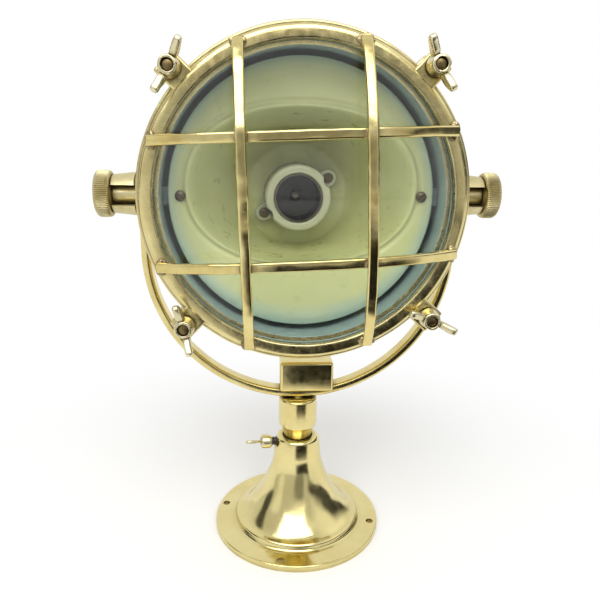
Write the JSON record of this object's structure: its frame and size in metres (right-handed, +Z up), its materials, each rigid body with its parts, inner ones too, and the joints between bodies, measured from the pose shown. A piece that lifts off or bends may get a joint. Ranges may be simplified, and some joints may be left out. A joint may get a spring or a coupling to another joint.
{
  "type": "cargo spotlight",
  "caption": "Nautical brass cargo spotlight: round caged lamp head that tilts in a U-shaped yoke and pans on a trumpet-shaped pedestal with a drilled round foot.",
  "frame": {"origin": "on the floor, on the pedestal's axis, under the middle of the foot", "axes": "+Z up along the pan axis, -Y the way the glass faces, X along the tilt axis"},
  "size_m": [0.2472, 0.1496, 0.3249],
  "materials": {
    "polished_brass": "hand polished",
    "dark_brass": "tarnished",
    "steel": "dark, threaded",
    "cream_enamel": "satin",
    "porcelain": "gloss",
    "glass": "clear",
    "rubber": "matt",
    "fibre": "matt"
  },
  "bodies": {
    "pedestal": {"pedestal": "polished_brass"},
    "lock_screw": {"swivel_lock_rod": "steel", "swivel_lock_wing": "polished_brass"},
    "yoke": {"swivel_stem": "polished_brass", "swivel_block": "polished_brass", "yoke_bar": "polished_brass", "yoke_boss_left": "polished_brass", "yoke_boss_right": "polished_brass"},
    "head": {"trunnion_left": "polished_brass", "trunnion_right": "polished_brass", "friction_washer_left": "fibre", "friction_washer_right": "fibre", "housing_shell": "polished_brass", "housing_rim": "polished_brass", "bezel_ring": "polished_brass", "lens_gasket": "rubber", "lens_glass": "glass", "lens_retaining_ring": "polished_brass", "front_gasket": "rubber", "cage_bar_left": "polished_brass", "cage_bar_right": "polished_brass", "cage_bar_upper": "polished_brass", "cage_bar_lower": "polished_brass", "reflector": "cream_enamel", "reflector_tab_left": "polished_brass", "reflector_tab_right": "polished_brass", "reflector_screw_left": "dark_brass", "reflector_screw_right": "dark_brass", "lampholder_body": "porcelain", "lampholder_screw_left": "dark_brass", "lampholder_screw_right": "dark_brass", "lampholder_bracket": "polished_brass", "lamp_screw_shell": "polished_brass", "lamp_centre_contact": "dark_brass", "terminal_screw_left": "dark_brass", "terminal_screw_right": "dark_brass", "cable_gland_body": "polished_brass", "cable_gland_nut": "polished_brass", "cable_gland_seal": "rubber", "hinge_pin_upper_left": "dark_brass", "hinge_pin_upper_right": "dark_brass", "hinge_pin_lower_left": "dark_brass", "hinge_pin_lower_right": "dark_brass"},
    "bolt_upper_left": {"swing_bolt_upper_left": "dark_brass"},
    "nut_upper_left": {"wing_nut_upper_left": "polished_brass"},
    "bolt_upper_right": {"swing_bolt_upper_right": "dark_brass"},
    "nut_upper_right": {"wing_nut_upper_right": "polished_brass"},
    "bolt_lower_left": {"swing_bolt_lower_left": "dark_brass"},
    "nut_lower_left": {"wing_nut_lower_left": "polished_brass"},
    "bolt_lower_right": {"swing_bolt_lower_right": "dark_brass"},
    "nut_lower_right": {"wing_nut_lower_right": "polished_brass"},
    "knob_left": {"tilt_knob_left": "polished_brass"},
    "knob_right": {"tilt_knob_right": "polished_brass"}
  },
  "joints": [
    {"name": "lock_screw_turn", "type": "hinge", "parent": "pedestal", "child": "lock_screw", "pos_m": [0, 0, 0.0624], "axis": [-0.9962, -0.0872, 0], "continuous": true},
    {"name": "pan", "type": "hinge", "parent": "pedestal", "child": "yoke", "pos_m": [0, 0, 0.08], "axis": [0, 0, 1], "continuous": true},
    {"name": "tilt", "type": "hinge", "parent": "yoke", "child": "head", "pos_m": [0, 0, 0.23125], "axis": [-1, 0, 0], "range_deg": [-25, 60]},
    {"name": "bolt_swing_upper_left", "type": "hinge", "parent": "head", "child": "bolt_upper_left", "pos_m": [-0.07036, -0.02765, 0.29903], "axis": [-0.6884, -0.0253, -0.7249], "range_deg": [0, 90]},
    {"name": "nut_turn_upper_left", "type": "hinge", "parent": "bolt_upper_left", "child": "nut_upper_left", "pos_m": [-0.07036, -0.04964, 0.29979], "axis": [0, -0.9994, 0.0349], "continuous": true},
    {"name": "bolt_swing_upper_right", "type": "hinge", "parent": "head", "child": "bolt_upper_right", "pos_m": [0.06738, -0.02755, 0.30203], "axis": [-0.7193, 0.0242, 0.6942], "range_deg": [0, 90]},
    {"name": "nut_turn_upper_right", "type": "hinge", "parent": "bolt_upper_right", "child": "nut_upper_right", "pos_m": [0.06738, -0.04953, 0.3028], "axis": [0, -0.9994, 0.0349], "continuous": true},
    {"name": "bolt_swing_lower_left", "type": "hinge", "parent": "head", "child": "bolt_lower_left", "pos_m": [-0.06738, -0.03242, 0.16256], "axis": [0.7193, -0.0242, -0.6942], "range_deg": [0, 90]},
    {"name": "nut_turn_lower_left", "type": "hinge", "parent": "bolt_lower_left", "child": "nut_lower_left", "pos_m": [-0.06738, -0.0544, 0.16333], "axis": [0, -0.9994, 0.0349], "continuous": true},
    {"name": "bolt_swing_lower_right", "type": "hinge", "parent": "head", "child": "bolt_lower_right", "pos_m": [0.07094, -0.03229, 0.16618], "axis": [0.682, 0.0255, 0.7309], "range_deg": [0, 90]},
    {"name": "nut_turn_lower_right", "type": "hinge", "parent": "bolt_lower_right", "child": "nut_lower_right", "pos_m": [0.07094, -0.05428, 0.16695], "axis": [0, -0.9994, 0.0349], "continuous": true},
    {"name": "knob_turn_left", "type": "hinge", "parent": "head", "child": "knob_left", "pos_m": [-0.118, 0, 0.23125], "axis": [-1, 0, 0], "continuous": true},
    {"name": "knob_turn_right", "type": "hinge", "parent": "head", "child": "knob_right", "pos_m": [0.118, 0, 0.23125], "axis": [1, 0, 0], "continuous": true}
  ]
}
